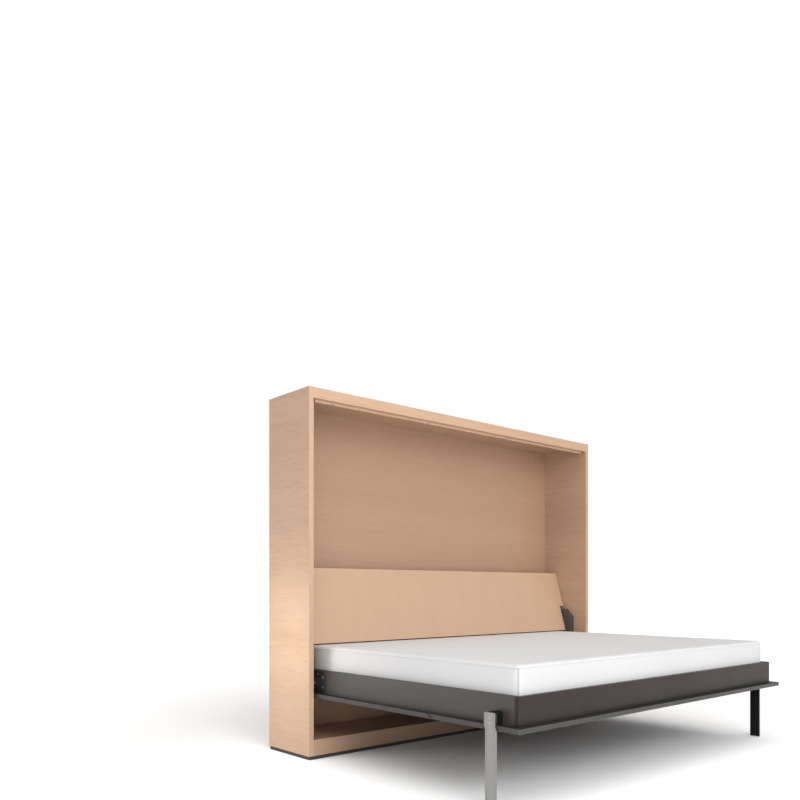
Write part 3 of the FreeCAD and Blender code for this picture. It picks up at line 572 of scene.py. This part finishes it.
def dress(node: str, look: Dress) -> None:
    """Give a frame node its finish and softly rounded arrises.

    Args:
        node: The node's name.
        look: Its finish.
    """
    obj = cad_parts[node]
    mesh = obj.data
    mesh.materials.clear()
    mesh.materials.append(made(look.finish))
    arris_slot = -1
    if look.cap is not None:
        mesh.materials.append(made(look.cap))
    for polygon in mesh.polygons:
        polygon.material_index = int(look.capped(polygon.normal))
        polygon.use_smooth = look.radius > 0
    if look.arris is not None:
        mesh.materials.append(made(look.arris))
        arris_slot = len(mesh.materials) - 1
    weld = obj.modifiers.new("joined_seams", "WELD")
    weld.merge_threshold = 0.00002
    if look.radius <= 0:
        return
    rounding = obj.modifiers.new("soft_arris", "BEVEL")
    rounding.width = look.radius
    rounding.segments = 2
    rounding.limit_method = "ANGLE"
    rounding.angle_limit = math.radians(38)
    rounding.use_clamp_overlap = True
    rounding.material = arris_slot
    shading = obj.modifiers.new("flat_faces", "WEIGHTED_NORMAL")
    shading.mode = "FACE_AREA"
    shading.weight = 90


# ---- mesh helpers


def to_object(name: str, bm: BMesh, finish: object, body: str) -> Object:
    """Turn a bmesh into a piece that rides on a body.

    Args:
        name: The piece's name.
        bm: Its mesh, which is freed.
        finish: Its finish.
        body: The body it rides on.

    Returns:
        The new object.
    """
    mesh = bpy.data.meshes.new(name)
    bmesh.ops.recalc_face_normals(bm, faces=bm.faces)
    bm.to_mesh(mesh)
    bm.free()
    mesh.materials.append(made(finish))
    for polygon in mesh.polygons:
        polygon.use_smooth = True
    obj = bpy.data.objects.new(name, mesh)
    bpy.context.scene.collection.objects.link(obj)
    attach(obj, body)
    return obj


def round_edges(bm: BMesh, edges: list[BMEdge], width: float, segments: int) -> None:
    """Round some edges of a mesh."""
    bmesh.ops.bevel(bm, geom=edges, offset=width, offset_type="OFFSET", segments=segments,
                    profile=0.5, affect="EDGES", material=-1)


def rounded_loop(bm: BMesh, half_x: float, half_y: float, corner: float,
                 centre: Point, radius: float, sides: int = 8, steps: int = 8) -> None:
    """Sweep a round section along a rectangle with rounded corners.

    Args:
        bm: The mesh it is added to.
        half_x: Half the rectangle's length along x, to the section's middle.
        half_y: Half its length along y.
        corner: The corner radius.
        centre: The rectangle's middle.
        radius: The section's radius.
        sides: Sides of the section.
        steps: Steps round each corner.
    """
    middle = Vector(centre)
    start = Matrix.Translation(middle + Vector((-half_x + corner, -half_y, 0)))
    turn = Matrix.Rotation(math.pi / 2, 4, "Y")
    ring = bmesh.ops.create_circle(bm, segments=sides, radius=radius, matrix=start @ turn)
    first = list(ring["verts"])
    edges = list({edge for vert in first for edge in vert.link_edges})
    travel = (Vector((2 * (half_x - corner), 0, 0)), Vector((0, 2 * (half_y - corner), 0)),
              Vector((-2 * (half_x - corner), 0, 0)), Vector((0, -2 * (half_y - corner), 0)))
    pivots = ((1, -1), (1, 1), (-1, 1), (-1, -1))
    for step, (sign_x, sign_y) in zip(travel, pivots):
        grown = bmesh.ops.extrude_edge_only(bm, edges=edges)["geom"]
        verts = [item for item in grown if isinstance(item, BMVert)]
        bmesh.ops.translate(bm, verts=verts, vec=step)
        edges = [item for item in grown
                 if isinstance(item, BMEdge) and all(v in verts for v in item.verts)]
        pivot = middle + Vector((sign_x * (half_x - corner), sign_y * (half_y - corner), 0))
        spun = bmesh.ops.spin(bm, geom=edges + verts, cent=pivot, axis=(0, 0, 1),
                              angle=math.pi / 2, steps=steps)
        last = spun["geom_last"]
        edges = [item for item in last if isinstance(item, BMEdge)]
    bmesh.ops.remove_doubles(bm, verts=bm.verts, dist=radius * 0.05)


# ---- screws


@dataclass(frozen=True)
class Screw:
    """A pan-head or flat-head screw with a cross recess.

    Attributes:
        head: Head radius.
        high: Head height above its seat.
        shank: Shank radius.
        reach: Shank length.
        cross: Radius of the cross recess.
        rounding: The head's rounded rim, as a share of its height.
        pit: Depth of the recess, as a share of the head's height.
        waist: Radius of the recess between its arms, as a share of the cross.
        tip: Radius of the shank's tip, as a share of the shank.
    """

    head: float = 0.005
    high: float = 0.0025
    shank: float = 0.0024
    reach: float = 0.006
    cross: float = 0.0026
    rounding: float = 0.45
    pit: float = 0.55
    waist: float = 0.36
    tip: float = 0.6

    def add(self, bm: BMesh, seat: Vector, outwards: Vector) -> None:
        """Add one screw.

        Args:
            bm: The mesh it is added to.
            seat: The middle of the face under its head.
            outwards: The direction its head looks in.
        """
        own = bmesh.new()
        bmesh.ops.create_cone(own, cap_ends=True, segments=24, radius1=self.head,
                              radius2=self.head, depth=self.high,
                              matrix=Matrix.Translation((0, 0, self.high / 2)))
        top = max(own.faces, key=lambda face: face.calc_center_median().z)
        round_edges(own, list(top.edges), self.high * self.rounding, 3)
        top = max(own.faces, key=lambda face: face.calc_center_median().z)
        inner = top.calc_area() ** 0.5 / math.pi ** 0.5
        bmesh.ops.inset_region(own, faces=[top], thickness=inner - self.cross,
                               use_even_offset=True)
        top = max(own.faces, key=lambda face: (round(face.calc_center_median().z, 6),
                                               -face.calc_area()))
        for vert in top.verts:
            angle = math.degrees(math.atan2(vert.co.y, vert.co.x)) % 90
            arm = min(angle, 90 - angle) < 20
            reach = self.cross if arm else self.cross * self.waist
            length = math.hypot(vert.co.x, vert.co.y)
            vert.co.x *= reach / length
            vert.co.y *= reach / length
        pit = bmesh.ops.extrude_face_region(own, geom=[top])["geom"]
        deep = [item for item in pit if isinstance(item, BMVert)]
        bmesh.ops.translate(own, verts=deep, vec=(0, 0, -self.high * self.pit))
        bmesh.ops.delete(own, geom=[top], context="FACES_ONLY")
        bmesh.ops.create_cone(own, cap_ends=True, segments=12, radius1=self.shank * self.tip,
                              radius2=self.shank, depth=self.reach,
                              matrix=Matrix.Translation((0, 0, -self.reach / 2)))
        turn = Vector((0, 0, 1)).rotation_difference(outwards).to_matrix().to_4x4()
        own.transform(Matrix.Translation(seat) @ turn)
        mesh = bpy.data.meshes.new("screw_part")
        own.to_mesh(mesh)
        own.free()
        bm.from_mesh(mesh)
        bpy.data.meshes.remove(mesh)


def screw_set(name: str, node: str, screw: Screw, seats: Sequence[tuple[Vector, Vector]],
              body: str) -> None:
    """Replace a frame node of plain screws with finished ones.

    Args:
        name: The new piece's name.
        node: The frame node.
        screw: The kind of screw.
        seats: Each screw's seat and the direction it looks in.
        body: The body they ride on.
    """
    bm = bmesh.new()
    for seat, outwards in seats:
        screw.add(bm, seat, outwards)
    obj = to_object(name, bm, ZINC, body)
    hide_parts(node)


def islands(node: str) -> list[tuple[Vector, Vector]]:
    """The box of each separate solid in a frame node.

    Args:
        node: The node's name.

    Returns:
        The lowest and highest corner of each.
    """
    bm = bmesh.new()
    bm.from_mesh(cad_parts[node].data)
    bmesh.ops.remove_doubles(bm, verts=bm.verts, dist=0.00002)
    todo, boxes = set(bm.verts), []
    while todo:
        stack = [todo.pop()]
        low, high = stack[0].co.copy(), stack[0].co.copy()
        while stack:
            vert = stack.pop()
            low = Vector(map(min, low, vert.co))
            high = Vector(map(max, high, vert.co))
            for edge in vert.link_edges:
                other = edge.other_vert(vert)
                if other in todo:
                    todo.remove(other)
                    stack.append(other)
        boxes.append((low, high))
    bm.free()
    return sorted(boxes, key=lambda pair: tuple(round(c, 4) for c in pair[0]))


# ---- sub-assemblies


@dataclass
class Cabinet:
    """The wall cabinet: boards, rails, wall angles and base strips."""

    arris: float = 0.0011
    boards: tuple[str, ...] = ("top_rail", "door_stop_batten", "plinth_front", "plinth_rear")

    def build(self) -> None:
        """Finish every board."""
        upright = Beech("beech_edge_upright", Run.UPRIGHT, (0.3, 0.1, 0.0), fleck_share=0.12)
        deep = Beech("beech_side", Run.DEEP, (0.0, 0.4, 0.2))
        across = Beech("beech_across", Run.ACROSS, pale=(0.535, 0.350, 0.233),
                       deep=(0.420, 0.260, 0.165), fleck_share=0.20)
        for side in Side:
            dress("side_board_" + side.word, Dress(deep, WOOD_ARRIS, self.arris, upright))
        # Painted shade: the plinths get a darker copy of the beech, as they sit in shade under the
        # bed.
        low = Beech("beech_plinth_painted_shade", Run.ACROSS, (0.0, 0.3, 0.1), pale=(0.430, 0.283, 0.190),
                    deep=(0.340, 0.214, 0.138), fleck_share=0.18)
        for node in self.boards:
            wood = low if node.startswith("plinth") else across
            dress(node, Dress(wood, WOOD_ARRIS, self.arris))
        # The back panels' darker, more saturated beech is partly their own wood and partly painted
        # shade inside the cabinet's recess.
        back = Beech("beech_back_painted_shade", Run.ACROSS, (0.7, 0.0, 0.3), pale=(0.432, 0.272, 0.173),
                     deep=(0.362, 0.217, 0.133), fleck_share=0.12)
        for node in ("back_panel_upper", "back_panel_lower"):
            dress(node, Dress(back, None, 0.0))
        inside = Beech("beech_shelf", Run.ACROSS, (0.2, 0.5, 0.0), pale=(0.500, 0.322, 0.208),
                       deep=(0.405, 0.250, 0.156), fleck_share=0.15)
        for node in ("top_board", "floor_board"):
            dress(node, Dress(inside, WOOD_ARRIS, 0.0008))
        dress("stop_bumpers", Dress(SOFT_RUBBER, None, 0.0005))
        dress("base_strips", Dress(BLACK_PLASTIC, None, 0.0008))
        for side in Side:
            dress("wall_bracket_" + side.word, Dress(SAND_STEEL, None, 0.0006))
        self.screws()
        LOG.info("cabinet")

    def screws(self) -> None:
        """Put real screws under the wall angles."""
        screw = Screw()
        seats = []
        for low, high in islands("wall_bracket_screws"):
            middle = (low + high) / 2
            seats.append((Vector((middle.x, middle.y, low.z + screw.high)), Vector((0, 0, -1))))
        screw_set("wall_angle_screws", "wall_bracket_screws", screw, seats, "cabinet")


@dataclass
class LeaningBoard:
    """The slanted board over the back of the bed and its hinges."""

    arris: float = 0.0016

    def build(self) -> None:
        """Finish the board and its two hinges."""
        board = Beech("beech_leaning", Run.UPRIGHT, (0.15, 0.0, 0.6), pale=(0.522, 0.347, 0.231),
                      deep=(0.486, 0.317, 0.208), fineness=150.0, fleck_share=0.08,
                      stretch=12.0)
        dress("backboard", Dress(board, WOOD_ARRIS, self.arris))
        for side in Side:
            dress("backboard_hinge_" + side.word, Dress(SAND_STEEL, None, 0.0006))
        LOG.info("leaning board")


@dataclass
class Mechanism:
    """Side plates, covers, pivots and gas struts."""

    arris: float = 0.0012

    def build(self) -> None:
        """Finish each piece of the lifting gear."""
        paint = PowderCoat("strut_black", (0.012, 0.012, 0.013), (0.03, 0.03, 0.03), 0.24, 400.0)
        for side in Side:
            for stem in ("mechanism_plate_", "bed_arm_", "backboard_pusher_"):
                dress(stem + side.word, Dress(BLACK_STEEL, None, self.arris))
            dress("mechanism_cover_" + side.word, Dress(COVER_STEEL, None, self.arris))
            dress("pivot_pin_" + side.word, Dress(ZINC, None, 0.0008))
            dress("pivot_bush_" + side.word, Dress(BLACK_PLASTIC, None, 0.0005))
            dress("strut_cylinder_" + side.word, Dress(paint, None, 0.0008))
            dress("strut_rod_" + side.word, Dress(CHROME, None, 0.0004))
        dress("strut_upper_studs", Dress(ZINC, None, 0.0005))
        self.screws()
        LOG.info("lifting mechanism")

    def screws(self) -> None:
        """Put real screws in the side plates and the bed arms."""
        screw = Screw()
        for node, body, inwards in (("mechanism_screws", "cabinet", -1),
                                    ("bed_arm_screws", "bed", 1)):
            seats = []
            for low, high in islands(node):
                middle = (low + high) / 2
                sign = math.copysign(1.0, middle.x) * inwards
                edge = low.x if sign < 0 else high.x
                seats.append((Vector((edge - sign * screw.high, middle.y, middle.z)),
                              Vector((sign, 0, 0))))
            screw_set(node + "_finished", node, screw, seats, body)


@dataclass
class BedFrame:
    """Door panel, tray rails, slats and leg blocks."""

    arris: float = 0.0012

    def build(self) -> None:
        """Finish the dark panel and tray and the slatted base."""
        face = DarkLaminate("laminate_door", Run.ACROSS, gloss=0.38)
        across = DarkLaminate("laminate_across", Run.ACROSS, (0.4, 0.0, 0.1))
        deep = DarkLaminate("laminate_deep", Run.DEEP, (0.0, 0.3, 0.2))
        # Painted shade: the front rail is a darker, redder and less glossy copy of the rails'
        # laminate, so the tray's front face reads as in shade.
        front = DarkLaminate("laminate_front_painted_shade", Run.ACROSS, (0.4, 0.0, 0.1),
                             (0.019, 0.0115, 0.0110), (0.028, 0.0175, 0.0165), 0.36, 0.30)
        # The upward faces of the panel and the rails get near-black painted shade, as they lie in
        # shade under the tray and the mattress.
        inner = {"cap": PAINTED_SHADE_TOPS, "cap_way": (0.0, 0.0, 1.0), "both_ways": False}
        dress("front_panel", Dress(face, DARK_ARRIS, self.arris, **inner))
        dress("tray_rail_front", Dress(front, SHADED_RAIL_ARRIS, 0.0010, **inner))
        dress("tray_rail_rear", Dress(across, SHADED_RAIL_ARRIS, 0.0010, **inner))
        for side in Side:
            dress("tray_rail_" + side.word, Dress(deep, SHADED_RAIL_ARRIS, 0.0010, **inner))
            dress("leg_bracket_" + side.word, Dress(DEEP_BLACK_AND_LEG_SHADE, None, 0.0016))
        dress("lower_black_strip", Dress(BLACK_PLASTIC, None, 0.0008))
        dress("leg_catches", Dress(CATCH_PLASTIC, None, 0.0015))
        birch = Beech("birch_slat", Run.DEEP, pale=(0.60, 0.49, 0.34), deep=(0.50, 0.38, 0.24))
        spruce = Beech("spruce_rail", Run.ACROSS, pale=(0.58, 0.45, 0.30), deep=(0.45, 0.32, 0.19))
        dress("bed_slats", Dress(birch, None, 0.002))
        for node in ("slat_ledge_front", "slat_ledge_rear", "centre_beam"):
            dress(node, Dress(spruce, None, 0.001))
        LOG.info("bed frame")


@dataclass
class Legs:
    """The two swinging flat legs with their cheek plates."""

    arris: float = 0.0009

    def build(self) -> None:
        """Finish the legs, plates, feet and screws."""
        for side in Side:
            inwards = (-math.copysign(1.0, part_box("leg_bar_" + side.word)[0].x), 0.0, 0.0)
            # Painted shade: each leg bar's inward faces get the near-black coat, as they stand in
            # the shade under the bed.
            dress("leg_bar_" + side.word,
                  Dress(LEG_STEEL, None, self.arris, DEEP_BLACK_AND_LEG_SHADE, inwards, False))
            dress("leg_cheek_plate_" + side.word, Dress(LEG_STEEL, None, 0.0005))
            dress("leg_foot_" + side.word, Dress(FOOT_PLASTIC, None, 0.0005))
        flat = Screw(head=0.0034, high=0.0016, shank=0.0019, reach=0.006, cross=0.0019)
        seats = []
        for low, high in islands("cheek_plate_screws"):
            middle = (low + high) / 2
            sign = math.copysign(1.0, middle.x)
            edge = high.x if sign > 0 else low.x
            seats.append((Vector((edge - sign * flat.high, middle.y, middle.z)),
                          Vector((sign, 0, 0))))
        screw_set("cheek_screws", "cheek_plate_screws", flat, seats, "bed")
        LOG.info("legs")


@dataclass
class Mattress:
    """A firm foam mattress in a white jersey cover with taped edges.

    Attributes:
        inset: How much smaller than its space the filling starts.
        corner: Radius of its upright corners.
        shoulder: Radius of its top and bottom edges.
        voxel: Size of the mesh that is blown up.
        travel: The furthest that a point may swell along each axis.
        seam: Height of each tape seam above or below the mattress's faces.
        tape: Radius of the tape's cord.
        thread: Radius of the dark upright cords at the corners, which paint the shade of the
            rounded corners.
        frames: How many steps the swelling takes.
        low: The lowest corner of its space.
        high: The highest corner of its space.
    """

    inset: float = 0.0035
    corner: float = 0.020
    shoulder: float = 0.009
    voxel: float = 0.0095
    travel: float = 0.0031
    seam: float = 0.0130
    tape: float = 0.0015
    thread: float = 0.0021
    frames: int = 20
    low: Vector = field(default_factory=lambda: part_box("mattress")[0])
    high: Vector = field(default_factory=lambda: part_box("mattress")[1])

    def filling(self) -> BMesh:
        """The mattress before it swells: a block with rounded corners and shoulders."""
        bm = bmesh.new()
        low = self.low + Vector((self.inset, self.inset, 0.001))
        high = self.high - Vector((self.inset, self.inset, self.inset))
        size, middle = high - low, (high + low) / 2
        bmesh.ops.create_cube(bm, size=1.0, matrix=Matrix.Translation(middle)
                              @ Matrix.Diagonal((*size, 1.0)))
        uprights = [edge for edge in bm.edges
                    if abs(edge.verts[0].co.z - edge.verts[1].co.z) > size.z * 0.5]
        round_edges(bm, uprights, self.corner, 8)
        rims = [edge for edge in bm.edges
                if abs(edge.verts[0].co.z - edge.verts[1].co.z) < 1e-5
                and edge.calc_face_angle(0.0) > 1.0]
        round_edges(bm, rims, self.shoulder, 3)
        return bm

    def seams(self) -> tuple[float, float]:
        """Heights of the lower and upper tape seams."""
        return self.low.z + 0.001 + self.seam, self.high.z - self.inset - self.seam

    def swell(self, obj: Object) -> None:
        """Remesh the filling, blow it up a little between its seams and keep the result.

        Args:
            obj: The mattress.
        """
        remesh = obj.modifiers.new("even_mesh", "REMESH")
        remesh.mode = "VOXEL"
        remesh.voxel_size = self.voxel
        bpy.context.view_layer.objects.active = obj
        bpy.ops.object.modifier_apply(modifier=remesh.name)
        start = [vert.co.copy() for vert in obj.data.vertices]
        levels = self.seams()
        rim = self.inset + self.shoulder * 0.9
        inner_x = self.high.x - rim
        inner_y_low, inner_y_high = self.low.y + rim, self.high.y - rim
        base = self.low.z + 0.004
        held = []
        for index, co in enumerate(start):
            outside = abs(co.x) > inner_x or co.y < inner_y_low or co.y > inner_y_high
            at_seam = any(abs(co.z - level) < self.voxel * 0.55 for level in levels)
            if (outside and at_seam) or co.z < base:
                held.append(index)
        pins = obj.vertex_groups.new(name="seams")
        pins.add(held, 1.0, "REPLACE")
        cloth = obj.modifiers.new("stuffing", "CLOTH")
        cloth.settings.quality = 5
        cloth.settings.mass = 0.4
        cloth.settings.tension_stiffness = 12
        cloth.settings.compression_stiffness = 12
        cloth.settings.shear_stiffness = 6
        cloth.settings.bending_stiffness = 1.2
        cloth.settings.use_pressure = True
        cloth.settings.uniform_pressure_force = 4.0
        cloth.settings.vertex_group_mass = pins.name
        cloth.settings.effector_weights.gravity = 0.0
        cloth.point_cache.frame_start = 1
        cloth.point_cache.frame_end = self.frames
        scene = bpy.context.scene
        for number in range(1, self.frames + 1):
            scene.frame_set(number)
        graph = bpy.context.evaluated_depsgraph_get()
        swollen = [vert.co.copy() for vert in obj.evaluated_get(graph).data.vertices]
        obj.modifiers.remove(cloth)
        scene.frame_set(1)
        steps = [after - before for before, after in zip(start, swollen)]
        share = [1.0, 1.0, 1.0]
        for axis in range(3):
            furthest = max(abs(step[axis]) for step in steps)
            share[axis] = min(1.0, self.travel / max(furthest, 1e-6))
        for vert, before, step in zip(obj.data.vertices, start, steps):
            vert.co = before + Vector(step[axis] * share[axis] for axis in range(3))

    def build(self) -> None:
        """Make the mattress, its edge tapes and the dark cords at its corners that paint the shade
        of its rounded corners.
        """
        obj = to_object("mattress_cover", self.filling(), Ticking("mattress_jersey"), "bed")
        self.swell(obj)
        for polygon in obj.data.polygons:
            polygon.use_smooth = True
        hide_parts("mattress")
        tapes = bmesh.new()
        centre = (self.low + self.high) / 2
        for level in self.seams():
            rounded_loop(tapes, (self.high.x - self.low.x) / 2 - self.inset,
                         (self.high.y - self.low.y) / 2 - self.inset, self.corner,
                         (centre.x, centre.y, level), self.tape)
        # Dark cords down the four corners: painted shade where the rounded corners turn from the
        # light.
        corners = bmesh.new()
        reach = self.corner * (1.0 - math.sqrt(0.5)) + self.inset
        low, high = self.seams()
        for x in (self.low.x + reach, self.high.x - reach):
            for y in (self.low.y + reach, self.high.y - reach):
                bmesh.ops.create_cone(corners, cap_ends=True, segments=12, radius1=self.thread,
                                      radius2=self.thread, depth=high - low,
                                      matrix=Matrix.Translation((x, y, (low + high) / 2)))
        tape_cloth = Ticking("mattress_tape", (0.57, 0.57, 0.575), (0.52, 0.52, 0.528), 1500.0)
        tape = to_object("mattress_tapes", tapes, tape_cloth, "bed")
        # The cords' grey cloth is painted shade.
        corner_shade_cloth = Ticking("mattress_corner_painted_shade", (0.40, 0.40, 0.405),
                             (0.34, 0.34, 0.345), 1500.0)
        seam = to_object("mattress_corner_shade_cords", corners, corner_shade_cloth, "bed")
        LOG.info("mattress")


@dataclass
class Studio:
    """Floor, soft lights and camera."""

    eye: Point = (-2.9950, -2.5821, 0.7835)
    heading: float = 43.11
    lens: float = 34.774
    slide: tuple[float, float] = (-0.0640, 0.2372)
    paper: Colour = (0.97, 0.97, 0.97)
    room: float = 0.38

    def floor(self) -> None:
        """A wide pale floor that glows faintly away from the bed: painted light that brightens it
        into the backdrop while the shade near the bed stays dark.
        """
        bm = bmesh.new()
        bmesh.ops.create_grid(bm, x_segments=1, y_segments=1, size=40.0)
        mesh = bpy.data.meshes.new("studio_floor")
        bm.to_mesh(mesh)
        bm.free()
        material, t, shader, where = start_material(
            "pale_floor", Roughness=0.9, Specular_IOR_Level=0.1, Emission_Strength=1.0)
        tone = t.noise(where, Scale=1.2, Detail=3.0)
        t.link(t.mix(t.times(tone, 0.04), self.paper, (0.94, 0.94, 0.94)),
               shader.inputs["Base Color"])
        # Painted light: the floor glows, from nothing within 1.9 m of its middle to full strength
        # beyond 4.5 m.
        reach = t.add("ShaderNodeVectorMath", operation="LENGTH")
        t.link(where, reach.inputs[0])
        floor_glow = t.ramp(reach.outputs["Value"], 1.9, 4.5)
        t.link(t.mix(floor_glow, (0.0, 0.0, 0.0), (0.22, 0.22, 0.22)), shader.inputs["Emission Color"])
        mesh.materials.append(material)
        obj = bpy.data.objects.new("studio_floor", mesh)
        bpy.context.scene.collection.objects.link(obj)

    def world(self) -> None:
        """Even white surroundings, a little dimmer as light than as a backdrop."""
        world = bpy.data.worlds.new("pale_room")
        bpy.context.scene.world = world
        world.use_nodes = True
        world.node_tree.nodes.clear()
        t = Tree(world.node_tree)
        out = t.add("ShaderNodeOutputWorld")
        seen = t.add("ShaderNodeBackground", Color=(1, 1, 1, 1), Strength=1.0)
        light = t.add("ShaderNodeBackground", Color=(1.0, 0.99, 0.975, 1), Strength=self.room)
        path = t.add("ShaderNodeLightPath")
        mix = t.add("ShaderNodeMixShader")
        t.link(path.outputs["Is Camera Ray"], mix.inputs[0])
        t.link(light.outputs[0], mix.inputs[1])
        t.link(seen.outputs[0], mix.inputs[2])
        t.link(mix.outputs[0], out.inputs[0])

    def lamp(self, name: str, place: Point, target: Point, size: tuple[float, float],
             power: float, colour: Colour = (1.0, 1.0, 1.0)) -> None:
        """A rectangular soft light.

        Args:
            name: Its name.
            place: Where it hangs.
            target: What it looks at.
            size: Its width and height.
            power: Its power in watts.
            colour: Its colour.
        """
        light = bpy.data.lights.new(name, "AREA")
        light.shape = "RECTANGLE"
        light.size, light.size_y = size
        light.energy = power
        light.color = colour
        obj = bpy.data.objects.new(name, light)
        obj.location = place
        aim = Vector(target) - Vector(place)
        obj.rotation_euler = aim.to_track_quat("-Z", "Y").to_euler()
        obj.visible_camera = False
        bpy.context.scene.collection.objects.link(obj)

    def sky(self, strength: float, spread: float, towards: Point) -> None:
        """A very soft, even light from above.

        Args:
            strength: Its strength.
            spread: How wide its source looks, in degrees.
            towards: The direction it comes from.
        """
        light = bpy.data.lights.new("soft_sky", "SUN")
        light.energy = strength
        light.angle = math.radians(spread)
        obj = bpy.data.objects.new("soft_sky", light)
        obj.rotation_euler = Vector(towards).to_track_quat("Z", "Y").to_euler()
        bpy.context.scene.collection.objects.link(obj)

    def lights(self) -> None:
        """A soft sky, a broad front key, two low fills, a rear card and a small warm glow."""
        self.sky(1.98, 80.0, (-0.16, -0.42, 0.88))
        self.lamp("front_key", (-2.2, -5.6, 2.9), (0.3, 0.3, 0.8), (3.4, 2.6), 176.0)
        self.lamp("low_fill", (0.6, -3.4, 1.25), (0.75, 0.7, 1.25), (2.2, 1.2), 11.0)
        self.lamp("rear_left_card", (-5.2, 4.2, 1.2), (-0.6, 0.0, 0.6), (5.0, 2.6), 16.0)
        self.lamp("low_left", (-2.7, -1.5, 0.80), (-0.95, -0.55, 0.42), (0.9, 0.5), 10.5)
        self.lamp("side_glow", (-1.56, 0.63, 0.56), (-1.05, 0.63, 0.56), (0.3, 0.25), 2.5,
                  (1.0, 0.96, 0.91))

    def camera(self) -> None:
        """A level camera at the bed's front left."""
        data = bpy.data.cameras.new("camera")
        data.lens = self.lens
        data.sensor_width = 36.0
        data.shift_x, data.shift_y = self.slide
        data.clip_start, data.clip_end = 0.05, 100.0
        obj = bpy.data.objects.new("camera", data)
        obj.location = self.eye
        obj.rotation_euler = (math.radians(90), 0.0, -math.radians(self.heading))
        bpy.context.scene.collection.objects.link(obj)
        bpy.context.scene.camera = obj

    def build(self) -> None:
        """Set the stage."""
        bpy.context.scene.view_settings.view_transform = "Standard"
        self.camera()
        self.floor()
        self.world()
        self.lights()
        LOG.info("studio")


def main() -> None:
    """Build and finish everything in order."""
    logging.basicConfig(level=logging.INFO, format="%(name)s: %(message)s")
    for part in (Studio(), Cabinet(), LeaningBoard(), Mechanism(), BedFrame(), Legs(), Mattress()):
        part.build()


if __name__ == "__main__":
    main()
